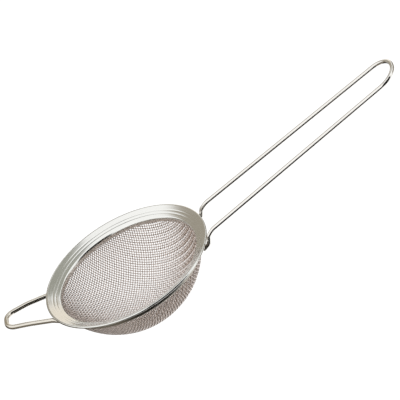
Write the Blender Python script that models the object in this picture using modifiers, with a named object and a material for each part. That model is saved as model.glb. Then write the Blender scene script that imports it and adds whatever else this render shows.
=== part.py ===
"""Tea strainer: a woven wire bowl clamped in a pressed steel rim, with two bent wires under the rim.

Frame: +Z up, millimetre sizes turned into metres by MM. The origin is the middle of the small flat
at the bottom of the bowl, so the bowl stands on the XY plane. The long handle points along +X, the
short front rest along -X, and XZ is the plane of symmetry.
"""
import math

import bmesh
import bpy
from mathutils import Matrix, Vector

MM = 0.001

# Driving dimensions, in millimetres and degrees
RIM_RADIUS = 37.5          # outside of the rim: a 75 mm, 3 inch strainer
RIM_HEIGHT = 27.1          # top of the rim above the bottom of the bowl
SHEET = 0.5                # thickness of the pressed rim
HEM_DEPTH = 0.65           # height of the turned-down outer edge
HEM_BEND = 0.35            # bend radius at the middle of the sheet
FLANGE_SLOPE = 27.0        # the flange falls inwards at this angle
SHOULDER_BEND = 1.0       # bend radius where the flange turns down into the neck
NECK_RADIUS = 31.4         # inside of the neck
NECK_BOTTOM = 4.8          # lower edge of the neck, below the top of the rim
GAP = 0.3                  # clearance between touching pieces

CLOTH = 0.4                # thickness of the woven wire cloth
CLOTH_TOP = 3.65           # upper edge of the cloth, below the top of the rim
BOWL_FLAT = 3.0            # radius of the flat at the bottom of the bowl
BAND = 0.5                 # thickness of the clamp band
BAND_TOP = 3.35            # upper edge of the band, below the top of the rim
BAND_BOTTOM = 4.9

HANDLE_WIRE = 1.8          # wire diameter
HANDLE_START = (33.3, 11.4)     # welded end: distance along X, half the distance between legs
HANDLE_ROOT = (36.4, 11.3)      # under the hem
HANDLE_STEP = (37.9, 10.9)      # just outside the rim
HANDLE_ELBOW = (40.6, 10.5)     # start of the long legs
HANDLE_END = (136.3, 8.4)
HANDLE_ROOT_DROP = 2.05         # wire centre below the top of the rim as it leaves the rim
HANDLE_STEP_RISE = 1.1          # wire centre above the top of the rim outside it
HANDLE_ELBOW_RISE = 3.1
HANDLE_RISE = 15.5              # slope of the long legs
HANDLE_BENDS = (1.6, 2.5, 8.0, 8.1)

REST_WIRE = 2.1
REST_START = (33.6, 10.7)
REST_ROOT = (36.4, 9.8)
REST_WAIST = (46.0, 7.6)
REST_END = (56.0, 4.8)
REST_ROOT_DROP = 3.2
REST_RISE = 12.3                # slope as far as the waist
REST_TIP_RISE = 6.5             # slope beyond it
REST_BENDS = (8.0, 30.0, 4.8)

WELD_RADIUS = 0.9          # spot weld nugget between a wire and the flange
TURN_STEPS = 64            # facets round the turned pieces

STEEL = {"color": (0.74, 0.73, 0.70, 1.0), "roughness": 0.28}
CLOTH_STEEL = {"color": (0.66, 0.63, 0.60, 1.0), "roughness": 0.42}
WIRE_STEEL = {"color": (0.72, 0.71, 0.68, 1.0), "roughness": 0.15}
WELD_STEEL = {"color": (0.38, 0.35, 0.32, 1.0), "roughness": 0.5}


def clear_scene():
    for obj in list(bpy.data.objects):
        bpy.data.objects.remove(obj, do_unlink=True)


def new_collection(name):
    collection = bpy.data.collections.new(name)
    bpy.context.scene.collection.children.link(collection)
    return collection


def steel_material(name, look):
    """A plain metal with the colour and roughness of one of the finishes above."""
    material = bpy.data.materials.new(name)
    material.use_nodes = True
    shader = material.node_tree.nodes["Principled BSDF"]
    shader.inputs["Base Color"].default_value = look["color"]
    shader.inputs["Metallic"].default_value = 1.0
    shader.inputs["Roughness"].default_value = look["roughness"]
    return material


def add_object(name, data, look, collection):
    obj = bpy.data.objects.new(name, data)
    obj.data.materials.append(steel_material(name + "_steel", look))
    collection.objects.link(obj)
    return obj


def arc(centre, radius, start, end, count):
    """Points on an arc in the turning plane, from one angle to another in degrees."""
    points = []
    for index in range(count + 1):
        angle = math.radians(start + (end - start) * index / count)
        points.append((centre[0] + radius * math.cos(angle), centre[1] + radius * math.sin(angle)))
    return points


def turned_sheet(name, profile, thickness, look, collection):
    """Turns an open profile of (radius, height) in millimetres about Z and gives it a thickness."""
    mesh = bpy.data.meshes.new(name)
    vertices = [(radius * MM, 0.0, (RIM_HEIGHT + height) * MM) for radius, height in profile]
    edges = [(index, index + 1) for index in range(len(vertices) - 1)]
    mesh.from_pydata(vertices, edges, [])
    obj = add_object(name, mesh, look, collection)
    screw = obj.modifiers.new("Turn", "SCREW")
    screw.axis = "Z"
    screw.steps = TURN_STEPS
    screw.render_steps = TURN_STEPS
    screw.use_merge_vertices = True
    screw.merge_threshold = 0.00001
    screw.use_smooth_shade = True
    shell = obj.modifiers.new("Sheet", "SOLIDIFY")
    shell.thickness = thickness * MM
    shell.offset = 0.0
    shell.use_even_offset = True
    return obj


def rim_profile():
    """Middle of the rim's sheet: up the hem, over the edge, down the flange, into the neck."""
    hem_centre = (RIM_RADIUS - SHEET / 2 - HEM_BEND, -SHEET / 2 - HEM_BEND)
    normal_angle = 90.0 + FLANGE_SLOPE
    hem = [(RIM_RADIUS - SHEET / 2, -HEM_DEPTH)]
    hem += arc(hem_centre, HEM_BEND, 0.0, normal_angle, 5)
    slope = math.tan(math.radians(FLANGE_SLOPE))
    shoulder_radius = NECK_RADIUS + SHEET / 2 + SHOULDER_BEND
    flange_radius = shoulder_radius + SHOULDER_BEND * math.cos(math.radians(normal_angle))
    flange_height = hem[-1][1] - (hem[-1][0] - flange_radius) * slope
    shoulder_height = flange_height - SHOULDER_BEND * math.sin(math.radians(normal_angle))
    shoulder = arc((shoulder_radius, shoulder_height), SHOULDER_BEND, normal_angle, 180.0, 4)
    return hem + shoulder + [(NECK_RADIUS + SHEET / 2, -NECK_BOTTOM)]


def bowl_profile():
    """Middle of the cloth: a short collar round the neck, then part of a sphere down to a flat."""
    collar = NECK_RADIUS + SHEET + GAP + CLOTH / 2
    bottom = CLOTH / 2 - RIM_HEIGHT
    edge = -BAND_BOTTOM
    # centre of the circle that passes through the collar's lower edge and the flat's edge
    centre = (collar ** 2 + edge ** 2 - BOWL_FLAT ** 2 - bottom ** 2) / (2 * (edge - bottom))
    radius = math.hypot(collar, edge - centre)
    start = math.degrees(math.atan2(edge - centre, collar))
    end = math.degrees(math.atan2(bottom - centre, BOWL_FLAT))
    return [(collar, -CLOTH_TOP)] + arc((0.0, centre), radius, start, end, 14) + [(0.0, bottom)]


def band_profile():
    middle = NECK_RADIUS + SHEET + GAP + CLOTH + GAP + BAND / 2
    return [(middle, -BAND_TOP), (middle, -BAND_BOTTOM)]


def rounded_path(corners, bends, arc_points):
    """Straight runs between corners, with each inner corner bent to its radius."""
    points = [corners[0]]
    for index, bend in enumerate(bends, start=1):
        corner = corners[index]
        back = (corners[index - 1] - corner).normalized()
        ahead = (corners[index + 1] - corner).normalized()
        half = back.angle(ahead) / 2
        centre = corner + (back + ahead).normalized() * bend / math.sin(half)
        first = (corner + back * bend / math.tan(half) - centre).normalized()
        last = (corner + ahead * bend / math.tan(half) - centre).normalized()
        for step in range(arc_points + 1):
            points.append(centre + first.slerp(last, step / arc_points) * bend)
    points.append(corners[-1])
    return points


def wire(name, points, diameter, look, collection):
    """A bent wire: a straight-sided curve through points in millimetres, with closed ends."""
    curve = bpy.data.curves.new(name, "CURVE")
    curve.dimensions = "3D"
    curve.bevel_depth = diameter / 2 * MM
    curve.bevel_resolution = 2
    curve.use_fill_caps = True
    spline = curve.splines.new("POLY")
    spline.points.add(len(points) - 1)
    for place, point in zip(spline.points, points):
        place.co = (point.x * MM, point.y * MM, point.z * MM, 1.0)
    return add_object(name, curve, look, collection)


def mirrored(half):
    """The half on the +Y side followed by its mirror image, run backwards."""
    return half + [Vector((point.x, -point.y, point.z)) for point in reversed(half)]


def rise(start, end, degrees):
    """Height gained between two (distance along X, half spacing) places at a slope."""
    return (end[0] - start[0]) * math.tan(math.radians(degrees))


def handle_corners():
    root_z = RIM_HEIGHT - HANDLE_ROOT_DROP
    elbow_z = RIM_HEIGHT + HANDLE_ELBOW_RISE
    return mirrored([
        Vector((*HANDLE_START, root_z - rise(HANDLE_START, HANDLE_ROOT, FLANGE_SLOPE))),
        Vector((*HANDLE_ROOT, root_z)),
        Vector((*HANDLE_STEP, RIM_HEIGHT + HANDLE_STEP_RISE)),
        Vector((*HANDLE_ELBOW, elbow_z)),
        Vector((*HANDLE_END, elbow_z + rise(HANDLE_ELBOW, HANDLE_END, HANDLE_RISE))),
    ])


def rest_corners():
    root_z = RIM_HEIGHT - REST_ROOT_DROP
    waist_z = root_z + rise(REST_ROOT, REST_WAIST, REST_RISE)
    corners = mirrored([
        Vector((*REST_START, root_z - rise(REST_START, REST_ROOT, FLANGE_SLOPE))),
        Vector((*REST_ROOT, root_z)),
        Vector((*REST_WAIST, waist_z)),
        Vector((*REST_END, waist_z + rise(REST_WAIST, REST_END, REST_TIP_RISE))),
    ])
    return [Vector((-corner.x, corner.y, corner.z)) for corner in corners]


def weld_nugget(name, wire_point, wire_diameter, look, collection):
    """A flattened bead lying between the top of a wire and the underside of the flange."""
    slope = math.radians(FLANGE_SLOPE)
    around = math.atan2(wire_point.y, wire_point.x)
    outward = math.hypot(wire_point.x, wire_point.y)
    normal = Vector((-math.sin(slope) * math.cos(around), -math.sin(slope) * math.sin(around),
                     math.cos(slope)))
    # perpendicular distance from the wire's centre up to the underside of the flange
    edge_radius = RIM_RADIUS - SHEET / 2 - HEM_BEND * (1 + math.sin(slope))
    edge_height = -SHEET / 2 - HEM_BEND * (1 - math.cos(slope))
    middle_height = RIM_HEIGHT + edge_height - (edge_radius - outward) * math.tan(slope)
    reach = (middle_height - wire_point.z) * math.cos(slope) - SHEET / 2
    low = wire_diameter / 2 + GAP
    high = reach - GAP
    bead = bmesh.new()
    bmesh.ops.create_uvsphere(bead, u_segments=16, v_segments=8, radius=WELD_RADIUS * MM)
    flatten = Matrix.Diagonal((1.0, 1.0, (high - low) / (2 * WELD_RADIUS), 1.0))
    turn = normal.to_track_quat("Z", "Y").to_matrix().to_4x4()
    centre = (wire_point + normal * (low + high) / 2) * MM
    bmesh.ops.transform(bead, matrix=Matrix.Translation(centre) @ turn @ flatten, verts=bead.verts)
    mesh = bpy.data.meshes.new(name)
    bead.to_mesh(mesh)
    bead.free()
    mesh.shade_smooth()
    return add_object(name, mesh, look, collection)


def along(corners, share):
    """A point on the first run of a wire, measured from its welded end."""
    return corners[0].lerp(corners[1], share)


clear_scene()
parts = new_collection("tea_strainer")

turned_sheet("rim_flange", rim_profile(), SHEET, STEEL, parts)
turned_sheet("mesh_bowl", bowl_profile(), CLOTH, CLOTH_STEEL, parts)
turned_sheet("clamp_band", band_profile(), BAND, STEEL, parts)

handle = handle_corners()
handle_path = rounded_path(handle, HANDLE_BENDS + HANDLE_BENDS[::-1], 7)
wire("handle_wire", handle_path, HANDLE_WIRE, WIRE_STEEL, parts)

rest = rest_corners()
rest_path = rounded_path(rest, REST_BENDS + REST_BENDS[::-1], 7)
wire("front_rest_wire", rest_path, REST_WIRE, WIRE_STEEL, parts)

# The two legs of each wire are welded under the flange at the same distance from their ends.
WELD_SHARE = 0.42
weld_nugget("handle_weld_left", along(handle, WELD_SHARE), HANDLE_WIRE, WELD_STEEL, parts)
weld_nugget("handle_weld_right", along(handle[::-1], WELD_SHARE), HANDLE_WIRE, WELD_STEEL, parts)
weld_nugget("rest_weld_left", along(rest[::-1], WELD_SHARE), REST_WIRE, WELD_STEEL, parts)
weld_nugget("rest_weld_right", along(rest, WELD_SHARE), REST_WIRE, WELD_STEEL, parts)
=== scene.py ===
"""A tea strainer: a spun steel rim, a bowl of woven wire cloth, and two bent wires welded under it.

Lengths are in millimetres and are turned into metres by MM where a mesh or an object is made.
"""
import math

import bpy
import numpy as np
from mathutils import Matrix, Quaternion, Vector


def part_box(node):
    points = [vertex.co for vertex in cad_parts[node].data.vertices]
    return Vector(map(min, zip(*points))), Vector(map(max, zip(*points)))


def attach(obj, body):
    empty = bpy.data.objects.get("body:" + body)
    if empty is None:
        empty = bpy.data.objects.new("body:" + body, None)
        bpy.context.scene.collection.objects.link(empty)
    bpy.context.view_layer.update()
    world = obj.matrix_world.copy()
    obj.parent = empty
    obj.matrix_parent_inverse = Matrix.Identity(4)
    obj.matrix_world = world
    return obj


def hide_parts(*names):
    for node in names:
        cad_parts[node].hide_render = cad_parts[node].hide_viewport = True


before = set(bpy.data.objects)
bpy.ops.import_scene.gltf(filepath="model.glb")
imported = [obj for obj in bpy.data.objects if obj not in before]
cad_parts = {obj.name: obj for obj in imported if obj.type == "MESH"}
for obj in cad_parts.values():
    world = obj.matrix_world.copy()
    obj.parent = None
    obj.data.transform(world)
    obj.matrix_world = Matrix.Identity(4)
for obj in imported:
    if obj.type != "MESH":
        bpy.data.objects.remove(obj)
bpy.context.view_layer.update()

# ---------------------------------------------------------------------------------------------
# Camera. A long lens a metre away looks down on the strainer from beside the handle, and is
# turned about its own axis, so that the handle climbs to the upper right.
MM = 0.001
VIEW_AZIMUTH = 8.213
VIEW_ELEVATION = 31.146
VIEW_ROLL = -30.401
VIEW_DISTANCE = 1042.94
VIEW_LENS = 225.0
VIEW_CLIP = 0.01
VIEW_TARGET = Vector((39.527, 9.504, 33.322))


def direction(azimuth, elevation):
    """Unit vector towards a place round the object; azimuth 0 is -Y and 90 is +X."""
    turn, lift = math.radians(azimuth), math.radians(elevation)
    return Vector((math.sin(turn) * math.cos(lift), -math.cos(turn) * math.cos(lift), math.sin(lift)))


back = direction(VIEW_AZIMUTH, VIEW_ELEVATION)
camera = bpy.data.objects.new("camera", bpy.data.cameras.new("camera"))
camera.data.lens = VIEW_LENS
camera.data.clip_start = VIEW_CLIP
camera.location = (VIEW_TARGET + back * VIEW_DISTANCE) * MM
camera.rotation_mode = "QUATERNION"
camera.rotation_quaternion = (back.to_track_quat("Z", "Y")
                              @ Quaternion((0, 0, 1), math.radians(VIEW_ROLL)))
bpy.context.scene.collection.objects.link(camera)
bpy.context.scene.camera = camera

# ---------------------------------------------------------------------------------------------
# Studio. The strainer stands on a white light table inside a white tent, so that it throws no
# shadow. Grey, black and cream cards stand round it and show only in the metal's reflections.
TENT_WHITE = "#ffffff"
TENT_BRIGHTNESS = 1.1
TABLE_RADIUS = 4000.0
TABLE_SIDES = 32
TABLE_DROP = 0.05
CARD_DISTANCE = 1500.0
CARD_SPACING = 20.0     # each card stands a little behind the one before, so that none share a plane
CARD_GRID = 24


def linear(code):
    """An sRGB hex colour as linear red, green, blue and alpha."""
    parts = [int(code[place:place + 2], 16) / 255 for place in (1, 3, 5)]
    return (*[c / 12.92 if c <= 0.04045 else ((c + 0.055) / 1.055) ** 2.4 for c in parts], 1.0)


def node(tree, kind, inputs=None, **settings):
    """Adds a node; inputs gives a socket either a value or the output that feeds it."""
    made = tree.nodes.new("ShaderNode" + kind)
    for name, value in settings.items():
        setattr(made, name, value)
    for socket, value in (inputs or {}).items():
        if isinstance(value, bpy.types.NodeSocket):
            tree.links.new(value, made.inputs[socket])
        else:
            made.inputs[socket].default_value = value
    return made


def empty_material(name):
    """A material with no nodes yet, and its node tree."""
    material = bpy.data.materials.new(name)
    material.use_nodes = True
    material.node_tree.nodes.clear()
    return material, material.node_tree


def add_piece(name, vertices, faces, material):
    """A smooth mesh object from points in millimetres."""
    mesh = bpy.data.meshes.new(name)
    mesh.from_pydata((np.asarray(vertices) * MM).tolist(), [], faces)
    mesh.shade_smooth()
    mesh.materials.append(material)
    obj = bpy.data.objects.new(name, mesh)
    bpy.context.scene.collection.objects.link(obj)
    return obj


def glowing_acrylic(name, code, strength):
    """Opal acrylic lit from behind: an even white with no shading of its own."""
    material, tree = empty_material(name)
    glow = node(tree, "Emission", {"Color": linear(code), "Strength": strength})
    node(tree, "OutputMaterial", {"Surface": glow.outputs[0]})
    return material


world = bpy.data.worlds.new("tent")
world.use_nodes = True
world.node_tree.nodes["Background"].inputs["Color"].default_value = linear(TENT_WHITE)
world.node_tree.nodes["Background"].inputs["Strength"].default_value = TENT_BRIGHTNESS
bpy.context.scene.world = world
bpy.context.scene.view_settings.view_transform = "Standard"

table_angles = [math.tau * k / TABLE_SIDES for k in range(TABLE_SIDES)]
corners = [(TABLE_RADIUS * math.cos(a), TABLE_RADIUS * math.sin(a), -TABLE_DROP) for a in table_angles]
opal = glowing_acrylic("opal_acrylic_lit", TENT_WHITE, TENT_BRIGHTNESS)
table = add_piece("light_table", corners, [list(range(TABLE_SIDES))], opal)
table.visible_glossy = False


def card(distance, name, azimuth, elevation, width, height, code, solid):
    """A matt painted card seen only in reflections. Its middle and size are in degrees. Past the
    solid share of its size it fades out, as an edge outside the light does."""
    material, tree = empty_material("matt_card_" + name)
    steps = np.linspace(-1, 1, CARD_GRID + 1)
    spots = [(across, along) for along in steps for across in steps]
    points = [direction(azimuth + width / 2 * across, elevation + height / 2 * along) * distance
              for across, along in spots]
    line = CARD_GRID + 1
    faces = [(r * line + c, r * line + c + 1, (r + 1) * line + c + 1, (r + 1) * line + c)
             for r in range(CARD_GRID) for c in range(CARD_GRID)]
    obj = add_piece(name, points, faces, material)
    share = obj.data.attributes.new("share", "FLOAT_VECTOR", "POINT")
    share.data.foreach_set("vector", [value for spot in spots for value in (*spot, 0.0)])
    place = node(tree, "Attribute", attribute_name="share")
    apart = node(tree, "SeparateXYZ", {"Vector": place.outputs["Vector"]})
    fades = []
    for axis in ("X", "Y"):
        out = node(tree, "Math", {0: apart.outputs[axis]}, operation="ABSOLUTE")
        fade = node(tree, "MapRange", {"Value": out.outputs[0], "From Min": solid, "From Max": 1.0,
                                       "To Min": 1.0, "To Max": 0.0}, interpolation_type="SMOOTHSTEP")
        fades.append(fade)
    both = node(tree, "Math", {0: fades[0].outputs[0], 1: fades[1].outputs[0]}, operation="MULTIPLY")
    clear = node(tree, "BsdfTransparent")
    glow = node(tree, "Emission", {"Color": linear(code)})
    mix = node(tree, "MixShader", {0: both.outputs[0], 1: clear.outputs[0], 2: glow.outputs[0]})
    node(tree, "OutputMaterial", {"Surface": mix.outputs[0]})
    obj.visible_camera = False
    obj.visible_shadow = False


# name, azimuth and elevation of its middle, width, height, paint, solid share
CARDS = (
    ("dark_side", 37.0, 6.0, 68.0, 110.0, "#0a0806", 0.9),
    ("low_front", -4.0, -35.0, 52.0, 98.0, "#191714", 0.85),
    ("low_left", -60.0, -28.0, 92.0, 96.0, "#7d776e", 0.85),
    ("low_back", -130.0, -34.0, 68.0, 54.0, "#141210", 0.85),
    ("left_side", -108.0, 6.0, 44.0, 44.0, "#857d6f", 0.7),
    ("right_side", 120.0, -2.0, 66.0, 52.0, "#857d6f", 0.7),
    ("back_cream", 168.0, 10.0, 28.0, 36.0, "#f6eddf", 0.6),
    ("back_left", -150.0, 24.0, 56.0, 64.0, "#a69f92", 0.6),
    ("back_right", 143.0, 51.0, 40.0, 42.0, "#a6a69d", 0.75),
    ("back_high", 176.0, 33.0, 40.0, 18.0, "#a8a091", 0.6),
    ("back_low", 150.0, -6.0, 22.0, 36.0, "#857d6f", 0.6),
    ("ceiling_beam", 180.0, 65.0, 110.0, 24.0, "#757571", 0.6),
)
for order, row in enumerate(CARDS):
    card(CARD_DISTANCE + order * CARD_SPACING, *row)

# ---------------------------------------------------------------------------------------------
# Rim. One ring of thin stainless sheet, spun to a funnel with a turned-down hem outside, two faint
# pressed rings and a short neck inside. The spinning leaves fine circles and a satin surface.
SHEET = 0.5
HEM_DEPTH = 0.65
HEM_BEND = 0.35
FLANGE_SLOPE = 27.0
SHOULDER_BEND = 1.0
NECK_RADIUS = 31.4
TURN_STEPS = 256
FLANGE_STEPS = 36
HEM_STEPS = 10
SHOULDER_STEPS = 14
EDGE_STEPS = 7
SWAGES = ((0.45, 0.24, 0.034), (0.72, 0.22, 0.044))     # pressed rings: place across, spread, depth


def box_mm(name):
    """Lowest and highest corners of a CAD node in millimetres."""
    low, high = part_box(name)
    return low / MM, high / MM


rim_low, rim_high = box_mm("rim_flange")
rim_radius, rim_top = rim_high.y, rim_high.z


def arc(centre, radius, start, end, count):
    """Points on an arc from one angle to another, in degrees."""
    angles = np.radians(np.linspace(start, end, count + 1))
    return [(centre[0] + radius * math.cos(a), centre[1] + radius * math.sin(a)) for a in angles]


def sheet_outline(middle, thickness):
    """The closed outline of a strip of sheet about its middle line, with rounded edges."""
    middle = np.asarray(middle)
    along = np.gradient(middle, axis=0)
    along /= np.linalg.norm(along, axis=1)[:, None]
    side = np.stack([-along[:, 1], along[:, 0]], axis=1)
    half = thickness / 2
    left, right = middle + side * half, middle - side * half

    def rounded_end(index, sign):
        turns = np.radians(np.linspace(90, -90, EDGE_STEPS))[1:-1]
        return [middle[index] + half * (side[index] * math.sin(t) + sign * along[index] * math.cos(t))
                for t in turns]

    ahead = rounded_end(-1, 1)
    behind = rounded_end(0, -1)
    return np.array([*left, *ahead, *right[::-1], *behind[::-1]])


def turned(name, outline, steps, material):
    """A closed outline of (radius, height) turned about Z."""
    angles = np.arange(steps) * math.tau / steps
    ring = np.array(outline)
    points = np.stack([np.outer(np.cos(angles), ring[:, 0]), np.outer(np.sin(angles), ring[:, 0]),
                       np.tile(ring[:, 1], (steps, 1))], axis=2).reshape(-1, 3)
    count = len(ring)
    faces = [(i * count + j, i * count + (j + 1) % count,
              (i + 1) % steps * count + (j + 1) % count, (i + 1) % steps * count + j)
             for i in range(steps) for j in range(count)]
    return add_piece(name, points, faces, material)


def rim_middle():
    """Middle of the rim's sheet: up the hem, over the edge, down the flange, into the neck."""
    hem_centre = (rim_radius - SHEET / 2 - HEM_BEND, rim_top - SHEET / 2 - HEM_BEND)
    lean = 90.0 + FLANGE_SLOPE
    hem = [(rim_radius - SHEET / 2, rim_top - HEM_DEPTH)] + arc(hem_centre, HEM_BEND, 0.0, lean, HEM_STEPS)
    shoulder_radius = NECK_RADIUS + SHEET / 2 + SHOULDER_BEND
    normal = Vector((math.cos(math.radians(lean)), math.sin(math.radians(lean))))
    flange_end = shoulder_radius + SHOULDER_BEND * normal.x
    width = (hem[-1][0] - flange_end) / math.cos(math.radians(FLANGE_SLOPE))
    fall = Vector((-math.cos(math.radians(FLANGE_SLOPE)), -math.sin(math.radians(FLANGE_SLOPE))))
    flange = []
    for step in range(1, FLANGE_STEPS):
        share = step / FLANGE_STEPS
        dip = sum(depth * math.exp(-((share - place) * width / spread) ** 2)
                  for place, spread, depth in SWAGES)
        point = Vector(hem[-1]) + fall * width * share - normal * dip
        flange.append((point.x, point.y))
    shoulder_height = hem[-1][1] + fall.y * width - SHOULDER_BEND * normal.y
    shoulder_centre = (shoulder_radius, shoulder_height)
    shoulder = arc(shoulder_centre, SHOULDER_BEND, lean, 180.0, SHOULDER_STEPS)
    return hem + flange + shoulder + [(NECK_RADIUS + SHEET / 2, rim_low.z + SHEET / 2)]


SPIN_PITCH = 0.5      # real spinning marks lie about 0.1 mm apart, drawn coarser so that they show
SPIN_DEPTH = 0.02
RIM_CLOUD = 11.1      # patches of handling and cleaning, about a fingertip across


def spun_steel(name, light, dark, roughness):
    """Satin stainless steel: fine circles round the axis that pull reflections out across them."""
    material, tree = empty_material(name)
    place = node(tree, "TexCoord").outputs["Object"]
    apart = node(tree, "SeparateXYZ", {"Vector": place})
    flat = node(tree, "CombineXYZ", {"X": apart.outputs["X"], "Y": apart.outputs["Y"]})
    radius = node(tree, "VectorMath", {0: flat.outputs[0]}, operation="LENGTH").outputs["Value"]
    around = node(tree, "VectorMath", {0: flat.outputs[0]}, operation="NORMALIZE")
    along = node(tree, "Math", {0: radius, 1: apart.outputs["Z"]}, operation="ADD")
    lines = node(tree, "Math", {0: along.outputs[0], 1: 1 / (SPIN_PITCH * MM)}, operation="MULTIPLY")
    up = node(tree, "CombineXYZ", {"Z": lines.outputs[0]})
    spun = node(tree, "VectorMath", {0: around.outputs[0], 1: up.outputs[0]}, operation="ADD")
    marks = node(tree, "TexNoise", {"Vector": spun.outputs[0], "Scale": 1.0, "Detail": 3.0})
    cloud = node(tree, "TexNoise", {"Vector": place, "Scale": 1 / (RIM_CLOUD * MM), "Detail": 3.0})
    tone = node(tree, "Mix", {0: cloud.outputs["Fac"], 6: linear(light), 7: linear(dark)},
                data_type="RGBA")
    polish = node(tree, "MapRange", {"Value": marks.outputs["Fac"], "From Min": 0.3, "From Max": 0.7,
                                     "To Min": roughness - 0.05, "To Max": roughness + 0.08})
    relief = node(tree, "Bump", {"Height": marks.outputs["Fac"], "Strength": 0.25,
                                 "Distance": SPIN_DEPTH * MM})
    tangent = node(tree, "Tangent", direction_type="RADIAL", axis="Z")
    steel = node(tree, "BsdfPrincipled", {"Base Color": tone.outputs[2], "Metallic": 1.0,
                                          "Roughness": polish.outputs[0], "Anisotropic": 0.5,
                                          "Normal": relief.outputs[0], "Tangent": tangent.outputs[0]})
    node(tree, "OutputMaterial", {"Surface": steel.outputs[0]})
    return material


rim_steel = spun_steel("stainless_steel_spun_satin", "#efefec", "#e4e4e0", 0.13)
rim = turned("spun_rim", sheet_outline(rim_middle(), SHEET), TURN_STEPS, rim_steel)
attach(rim, "root")
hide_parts("rim_flange")

# ---------------------------------------------------------------------------------------------
# Bowl. Plain-woven stainless wire cloth, pressed over a ball while its edge is held, so that its
# square meshes lean into diamonds on the diagonals. It is cut level inside the clamp band.
CLOTH_PITCH = 1.05     # coarser than fine tea cloth, so that its wires show
CLOTH_WIRE = 0.41
WEAVE_TURN = -26.0
NET_COUNT = 50
WIRE_SIDES = 6
PITCH_STEPS = 2
SHORTEST_WIRE = 4      # in points along it; a shorter one would fall out of the weave

bowl_low, bowl_high = box_mm("mesh_bowl")
band_low, band_high = box_mm("clamp_band")
COLLAR_RADIUS = 32.4
FLAT_RADIUS = 3.0
collar_bottom = band_low.z
collar_top = bowl_high.z - CLOTH_WIRE
bottom = bowl_low.z + CLOTH_WIRE
# The ball passes through the collar's lower edge and through the edge of the flat at the bottom.
ball_centre = ((COLLAR_RADIUS ** 2 + collar_bottom ** 2 - FLAT_RADIUS ** 2 - bottom ** 2)
               / (2 * (collar_bottom - bottom)))
ball_radius = math.hypot(COLLAR_RADIUS, collar_bottom - ball_centre)


def net_quarter(count):
    """Crossings of the pressed cloth on a unit ball, over one quarter. Every side of a mesh keeps
    its length, so each new crossing mirrors the one across the mesh in the plane of its neighbours."""
    step = CLOTH_PITCH / ball_radius
    net = np.zeros((count, count, 3))
    for k in range(count):
        net[k, 0] = (math.sin(k * step), 0.0, -math.cos(k * step))
        net[0, k] = (0.0, math.sin(k * step), -math.cos(k * step))
    for i in range(1, count):
        for j in range(1, count):
            plane = np.cross(net[i - 1, j], net[i, j - 1])
            plane /= np.linalg.norm(plane)
            net[i, j] = net[i - 1, j - 1] - 2 * np.dot(net[i - 1, j - 1], plane) * plane
    return net


def whole_net(count):
    """The quarter net mirrored into all four quarters."""
    quarter = net_quarter(count)
    net = np.zeros((2 * count - 1, 2 * count - 1, 3))
    for sx in (1, -1):
        for sy in (1, -1):
            for i in range(count):
                for j in range(count):
                    net[count - 1 + sx * i, count - 1 + sy * j] = quarter[i, j] * (sx, sy, 1)
    return net


def on_bowl(unit):
    """Unit directions as points and outward normals on the bowl. Past the ball's edge they climb
    the collar."""
    lean = np.arccos(np.clip(-unit[:, 2], -1, 1))
    around = np.arctan2(unit[:, 1], unit[:, 0])
    edge = math.acos((ball_centre - collar_bottom) / ball_radius)
    inside = lean <= edge
    radius = np.where(inside, ball_radius * np.sin(lean), COLLAR_RADIUS)
    height = np.where(inside, ball_centre - ball_radius * np.cos(lean),
                      collar_bottom + (lean - edge) * ball_radius)
    height = np.maximum(height, bottom)
    tilt = np.where(inside, lean, math.pi / 2)
    ring = np.stack([np.cos(around), np.sin(around)], axis=1)
    point = np.column_stack([ring * radius[:, None], height])
    normal = np.column_stack([ring * np.sin(tilt)[:, None], -np.cos(tilt)])
    return point, normal


def tube_faces(rings, sides):
    """Faces of a closed tube whose points run ring after ring."""
    faces = [(i * sides + j, i * sides + (j + 1) % sides,
              (i + 1) * sides + (j + 1) % sides, (i + 1) * sides + j)
             for i in range(rings - 1) for j in range(sides)]
    faces.append(tuple(range(sides))[::-1])
    faces.append(tuple((rings - 1) * sides + j for j in range(sides)))
    return faces


def tube_mesh(points, normals, radius, sides):
    """Vertices and faces of one wire about a line, with its ends closed."""
    along = np.gradient(points, axis=0)
    along /= np.linalg.norm(along, axis=1)[:, None]
    across = np.cross(along, normals)
    across /= np.linalg.norm(across, axis=1)[:, None]
    up = np.cross(across, along)
    angles = np.arange(sides) * math.tau / sides
    ring = (across[:, None] * np.cos(angles)[None, :, None]
            + up[:, None] * np.sin(angles)[None, :, None])
    vertices = (points[:, None] + ring * radius).reshape(-1, 3)
    return vertices, tube_faces(len(points), sides)


PUCKER_DEPTH = 0.21    # shallow waves along the weft on the handle's side; a guess
PUCKER_WIRES = 3.0     # weft wires from one crest to the next
PUCKER_SIDE = 0.35     # how far past the middle they reach, as a share of the bowl's radius
PUCKER_START = 3.0
PUCKER_GROWTH = 8.0
PUCKER_FADE = 1.5


def pucker(point, place):
    """Pucker of the cloth, from -1 in a trough to 1 on a crest, at a place counted in weft wires.
    It grows with height and dies out just below the collar, where the cloth is held."""
    side = np.clip(point[:, 0] / COLLAR_RADIUS + PUCKER_SIDE, 0, 1)
    growth = np.clip((point[:, 2] - PUCKER_START) / PUCKER_GROWTH, 0, 1)
    held = np.clip((collar_bottom - point[:, 2]) / PUCKER_FADE, 0, 1)
    return side * growth * held * np.sin(math.tau * place / PUCKER_WIRES)


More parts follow.
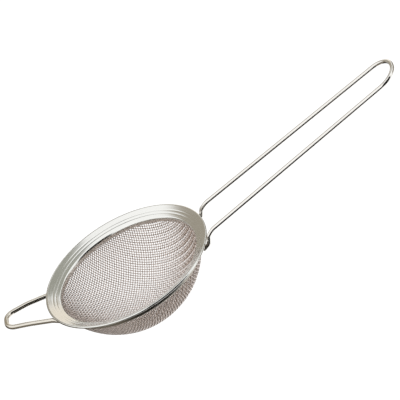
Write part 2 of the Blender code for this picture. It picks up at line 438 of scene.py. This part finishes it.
def woven_wires(name, crossings, first_sign, is_weft, material):
    """All wires of one direction as one piece. A wire passes over and under at alternate crossings."""
    vertices, faces, contact, crests = [], [], [], []
    total = 0
    middle = len(crossings) // 2
    for index, row in enumerate(crossings):
        sign = first_sign * (-1) ** (index - middle)
        fine = []
        wave = []
        place = []
        for k in range(len(row) - 1):
            for step in range(PITCH_STEPS):
                share = step / PITCH_STEPS
                fine.append(row[k] * (1 - share) + row[k + 1] * share)
                wave.append(sign * (-1) ** (k - middle) * math.cos(math.pi * share))
                place.append(index if is_weft else k + share)
        fine = np.array(fine)
        fine /= np.linalg.norm(fine, axis=1)[:, None]
        wave = np.array(wave)
        point, normal = on_bowl(fine)
        crest = pucker(point, np.array(place))
        point += normal * crest[:, None] * PUCKER_DEPTH
        inside = point[:, 2] <= collar_top
        centre = len(inside) // 2
        if not inside[centre]:
            continue
        first = centre - int(np.argmax(~inside[centre::-1])) + 1
        last = centre + int(np.argmax(~inside[centre:]))
        if last - first < SHORTEST_WIRE:
            continue
        kept = slice(first, last)
        line = point[kept] + normal[kept] * (wave[kept] * CLOTH_WIRE / 2)[:, None]
        new_vertices, new_faces = tube_mesh(line, normal[kept], CLOTH_WIRE / 2, WIRE_SIDES)
        vertices.append(new_vertices)
        faces += [tuple(v + total for v in face) for face in new_faces]
        contact.append(np.repeat(np.abs(wave[kept]), WIRE_SIDES))
        crests.append(np.repeat(crest[kept], WIRE_SIDES))
        total += len(new_vertices)
    piece = add_piece(name, np.concatenate(vertices), faces, material)
    for attribute, values in (("contact", contact), ("crest", crests)):
        stored = piece.data.attributes.new(attribute, "FLOAT", "POINT")
        stored.data.foreach_set("value", np.concatenate(values))
    return piece


CLOTH_PATCH = 3.85     # the drawn wire varies a little in tone over a few meshes


def woven_steel(name):
    """Drawn stainless wire with a dull finish, and painted shade where two wires touch. The troughs of
    the puckers carry painted shade too, because their shape alone hardly shows."""
    material, tree = empty_material(name)
    place = node(tree, "TexCoord").outputs["Object"]
    contact = node(tree, "Attribute", attribute_name="contact")
    patchy = node(tree, "TexNoise", {"Vector": place, "Scale": 1 / (CLOTH_PATCH * MM), "Detail": 2.0})
    # painted shade: where two wires touch, the colour darkens towards #8b7f75 in place of the shadow
    # between them
    painted_contact_shade = node(tree, "MapRange", {"Value": contact.outputs["Fac"], "From Min": 0.55, "From Max": 1.0})
    base = node(tree, "Mix", {0: patchy.outputs["Fac"], 6: linear("#faf1ec"), 7: linear("#efe4de")},
                data_type="RGBA")
    tone = node(tree, "Mix", {0: painted_contact_shade.outputs[0], 6: base.outputs[2], 7: linear("#8b7f75")},
                data_type="RGBA")
    # painted shade: the troughs of the puckers are darkened by #dad1c9, so that the ripples show
    crest = node(tree, "Attribute", attribute_name="crest")
    trough = node(tree, "MapRange", {"Value": crest.outputs["Fac"], "From Min": -0.9, "From Max": 0.0,
                                     "To Min": 1.0, "To Max": 0.0})
    shaded = node(tree, "Mix", {0: trough.outputs[0], 6: tone.outputs[2], 7: linear("#dad1c9")},
                  data_type="RGBA", blend_type="MULTIPLY")
    steel = node(tree, "BsdfPrincipled", {"Base Color": shaded.outputs[2], "Metallic": 1.0,
                                          "Roughness": 0.38})
    node(tree, "OutputMaterial", {"Surface": steel.outputs[0]})
    return material


crossings = whole_net(NET_COUNT)
turn = math.radians(WEAVE_TURN)
spin = np.array([[math.cos(turn), math.sin(turn), 0], [-math.sin(turn), math.cos(turn), 0], [0, 0, 1]])
crossings = crossings @ spin
cloth_steel = woven_steel("stainless_steel_woven_wire")
for name, net, sign in (("warp_wires", crossings, 1), ("weft_wires", crossings.transpose(1, 0, 2), -1)):
    wires = woven_wires(name, net, sign, name == "weft_wires", cloth_steel)
    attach(wires, "root")
    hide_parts("mesh_bowl")

# ---------------------------------------------------------------------------------------------
# Clamp band. A narrow strip of the same sheet rolled into a ring, which grips the cloth's edge
# round the outside of the neck. It sits out of sight under the flange.
BAND = 0.5
BAND_STEPS = 7
band_radius = band_high.y - BAND / 2
band_heights = np.linspace(band_high.z - BAND / 2, band_low.z + BAND / 2, BAND_STEPS)
band_middle = [(band_radius, height) for height in band_heights]
band_steel = spun_steel("stainless_steel_rolled_strip", "#d2cec4", "#bdb8ac", 0.3)
band = turned("clamp_ring", sheet_outline(band_middle, BAND), TURN_STEPS, band_steel)
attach(band, "root")
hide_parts("clamp_band")

# ---------------------------------------------------------------------------------------------
# Handle. One length of round steel wire bent into a long narrow loop and plated bright. Its two
# ends run in under the flange, flattened by the welding, and step up just outside the rim.
HANDLE_WIRE = 1.8
HANDLE_START = (33.3, 11.4)
HANDLE_ROOT = (36.4, 11.3)
HANDLE_STEP = (37.9, 10.9)
HANDLE_ELBOW = (40.6, 10.5)
HANDLE_TIP_HALF = 8.4
HANDLE_ROOT_DROP = 2.05
HANDLE_STEP_RISE = 1.1
HANDLE_ELBOW_RISE = 3.1
HANDLE_RISE = 15.48
HANDLE_BENDS = (1.6, 2.5, 8.0, 8.1)
BEND_POINTS = 24
TUBE_SIDES = 28
LONGEST_RUN = 2.0
handle_high = box_mm("handle_wire")[1]


def rounded_path(corners, bends):
    """Straight runs between corners, with each inner corner bent to its radius."""
    points = [corners[0]]
    for index, bend in enumerate(bends, start=1):
        corner = corners[index]
        behind = (corners[index - 1] - corner).normalized()
        ahead = (corners[index + 1] - corner).normalized()
        half = behind.angle(ahead) / 2
        centre = corner + (behind + ahead).normalized() * bend / math.sin(half)
        first = (corner + behind * bend / math.tan(half) - centre).normalized()
        last = (corner + ahead * bend / math.tan(half) - centre).normalized()
        for step in range(BEND_POINTS + 1):
            points.append(centre + first.slerp(last, step / BEND_POINTS) * bend)
    points.append(corners[-1])
    return points


def evened(points, longest):
    """The same line with its long runs cut into shorter ones."""
    line = [points[0]]
    for point in points[1:]:
        pieces = max(1, math.ceil((point - line[-1]).length / longest))
        start = line[-1]
        line += [start.lerp(point, k / pieces) for k in range(1, pieces + 1)]
    return line


def mirrored(half):
    """The half on the +Y side followed by its mirror image, run backwards."""
    return half + [Vector((point.x, -point.y, point.z)) for point in reversed(half)]


def rise(start, end, degrees):
    """Height gained between two (distance along X, half spacing) places at a slope."""
    return (end[0] - start[0]) * math.tan(math.radians(degrees))


FLAT_LENGTH = 2.6
FLAT_SHARE = 0.8      # thickness left where the welding has squeezed the wire
FLAT_HOLD = 0.4       # share of the flat's length before it swells back to round
DOME_SHARE = 0.45
DOME_ANGLES = (12, 30, 50, 70)


def bent_wire(name, points, diameter, material):
    """A round wire swept along a line without twisting. Its ends are flattened and rounded off."""
    line = evened(points, LONGEST_RUN)
    count = len(line)
    along = [(line[min(k + 1, count - 1)] - line[max(k - 1, 0)]).normalized() for k in range(count)]
    side = Vector((0, 0, 1)).cross(along[0]).normalized()
    travelled = [0.0]
    for k in range(1, count):
        travelled.append(travelled[-1] + (line[k] - line[k - 1]).length)
    radius = diameter / 2
    stations = []
    for k in range(count):
        if k:
            side = along[k - 1].rotation_difference(along[k]) @ side
        reach = min(travelled[k], travelled[-1] - travelled[k])
        swelling = min(1.0, max(0.0, reach / FLAT_LENGTH - FLAT_HOLD) / (1 - FLAT_HOLD))
        flat = FLAT_SHARE + (1 - FLAT_SHARE) * swelling
        stations.append((line[k], along[k], side.copy(), flat, 1.0))
    dome = [(1 - math.cos(math.radians(t)), math.sin(math.radians(t))) for t in DOME_ANGLES]
    start, end = stations[0], stations[-1]
    tip = radius * DOME_SHARE
    head = [(start[0] + start[1] * tip * depth, *start[1:4], shrink) for depth, shrink in dome]
    tail = [(end[0] - end[1] * tip * depth, *end[1:4], shrink) for depth, shrink in dome[::-1]]
    first = next(k for k in range(count) if travelled[k] > tip)
    last = next(k for k in range(count - 1, 0, -1) if travelled[-1] - travelled[k] > tip)
    stations = head + stations[first:last + 1] + tail
    vertices = []
    for centre, forward, across, flat, shrink in stations:
        up = forward.cross(across)
        for j in range(TUBE_SIDES):
            turn = math.tau * j / TUBE_SIDES
            vertices.append(centre + radius * shrink * (across * math.cos(turn) / flat ** 0.5
                                                        + up * math.sin(turn) * flat))
    return add_piece(name, vertices, tube_faces(len(stations), TUBE_SIDES), material)


DRAWING_WAVE = 4.55   # drawing the wire through its die leaves waves a few millimetres long
WAVE_DEPTH = 0.02
HAZE_PATCH = 16.7     # handling dulls the plating in patches as long as a fingertip


def plated_wire(name, light, dark):
    """Steel wire under bright plating: a sharp mirror with faint waves from drawing. The two wires
    are toned apart as they look; the plating itself is a guess."""
    material, tree = empty_material(name)
    place = node(tree, "TexCoord").outputs["Object"]
    waves = node(tree, "TexNoise", {"Vector": place, "Scale": 1 / (DRAWING_WAVE * MM), "Detail": 2.0})
    haze = node(tree, "TexNoise", {"Vector": place, "Scale": 1 / (HAZE_PATCH * MM), "Detail": 4.0})
    tone = node(tree, "Mix", {0: haze.outputs["Fac"], 6: linear(light), 7: linear(dark)},
                data_type="RGBA")
    polish = node(tree, "MapRange", {"Value": haze.outputs["Fac"], "From Min": 0.3, "From Max": 0.7,
                                     "To Min": 0.1, "To Max": 0.2})
    relief = node(tree, "Bump", {"Height": waves.outputs["Fac"], "Strength": 0.2,
                                 "Distance": WAVE_DEPTH * MM})
    chrome = node(tree, "BsdfPrincipled", {"Base Color": tone.outputs[2], "Metallic": 1.0,
                                           "Roughness": polish.outputs[0], "Normal": relief.outputs[0]})
    node(tree, "OutputMaterial", {"Surface": chrome.outputs[0]})
    return material


root_z = rim_top - HANDLE_ROOT_DROP
elbow_z = rim_top + HANDLE_ELBOW_RISE
handle_end = (handle_high.x - HANDLE_WIRE / 2, HANDLE_TIP_HALF)
handle_corners = mirrored([
    Vector((*HANDLE_START, root_z - rise(HANDLE_START, HANDLE_ROOT, FLANGE_SLOPE))),
    Vector((*HANDLE_ROOT, root_z)),
    Vector((*HANDLE_STEP, rim_top + HANDLE_STEP_RISE)),
    Vector((*HANDLE_ELBOW, elbow_z)),
    Vector((*handle_end, elbow_z + rise(HANDLE_ELBOW, handle_end, HANDLE_RISE))),
])
bright_plate = plated_wire("steel_wire_chrome_plated", "#f4f2ee", "#e9e6e0")
handle = bent_wire("handle_loop", rounded_path(handle_corners, HANDLE_BENDS + HANDLE_BENDS[::-1]),
                   HANDLE_WIRE, bright_plate)
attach(handle, "root")
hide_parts("handle_wire")

# ---------------------------------------------------------------------------------------------
# Front rest. A shorter, slightly thicker wire bent to a loop, which sits on the far side of a cup.
# It is plated too, in a warmer tone, and is welded under the flange as the handle is.
REST_WIRE = 2.1
REST_START = (33.6, 10.7)
REST_ROOT = (36.4, 9.8)
REST_WAIST = (46.0, 7.6)
REST_TIP_HALF = 4.8
REST_ROOT_DROP = 3.2
REST_RISE = 12.3
REST_TIP_RISE = 6.5
REST_BENDS = (8.0, 30.0, 4.8)
rest_low = box_mm("front_rest_wire")[0]

rest_root_z = rim_top - REST_ROOT_DROP
rest_end = (-rest_low.x - REST_WIRE / 2, REST_TIP_HALF)
rest_waist_z = rest_root_z + rise(REST_ROOT, REST_WAIST, REST_RISE)
rest_corners = mirrored([
    Vector((*REST_START, rest_root_z - rise(REST_START, REST_ROOT, FLANGE_SLOPE))),
    Vector((*REST_ROOT, rest_root_z)),
    Vector((*REST_WAIST, rest_waist_z)),
    Vector((*rest_end, rest_waist_z + rise(REST_WAIST, rest_end, REST_TIP_RISE))),
])
rest_corners = [Vector((-corner.x, corner.y, corner.z)) for corner in rest_corners]
warm_plate = plated_wire("steel_wire_nickel_plated", "#e9e4da", "#dbd5c9")
rest = bent_wire("front_rest_loop", rounded_path(rest_corners, REST_BENDS + REST_BENDS[::-1]),
                 REST_WIRE, warm_plate)
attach(rest, "root")
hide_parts("front_rest_wire")

# ---------------------------------------------------------------------------------------------
# Spot welds. A bead of melted steel joins each wire end to the underside of the flange. The heat
# leaves straw and brown tints on it.
WELD_PATCH = 1.43


def heat_tinted(name):
    """Stainless steel oxidised by welding: dull, in patches from straw to brown."""
    material, tree = empty_material(name)
    place = node(tree, "TexCoord").outputs["Object"]
    patchy = node(tree, "TexNoise", {"Vector": place, "Scale": 1 / (WELD_PATCH * MM), "Detail": 3.0})
    tint = node(tree, "Mix", {0: patchy.outputs["Fac"], 6: linear("#6d5f52"), 7: linear("#b39a72")},
                data_type="RGBA")
    steel = node(tree, "BsdfPrincipled", {"Base Color": tint.outputs[2], "Metallic": 1.0,
                                          "Roughness": 0.42})
    node(tree, "OutputMaterial", {"Surface": steel.outputs[0]})
    return material


weld_tint = heat_tinted("stainless_steel_weld_heat_tinted")
for name in ("handle_weld_left", "handle_weld_right", "rest_weld_left", "rest_weld_right"):
    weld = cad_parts[name]
    weld.data.materials.clear()
    weld.data.materials.append(weld_tint)
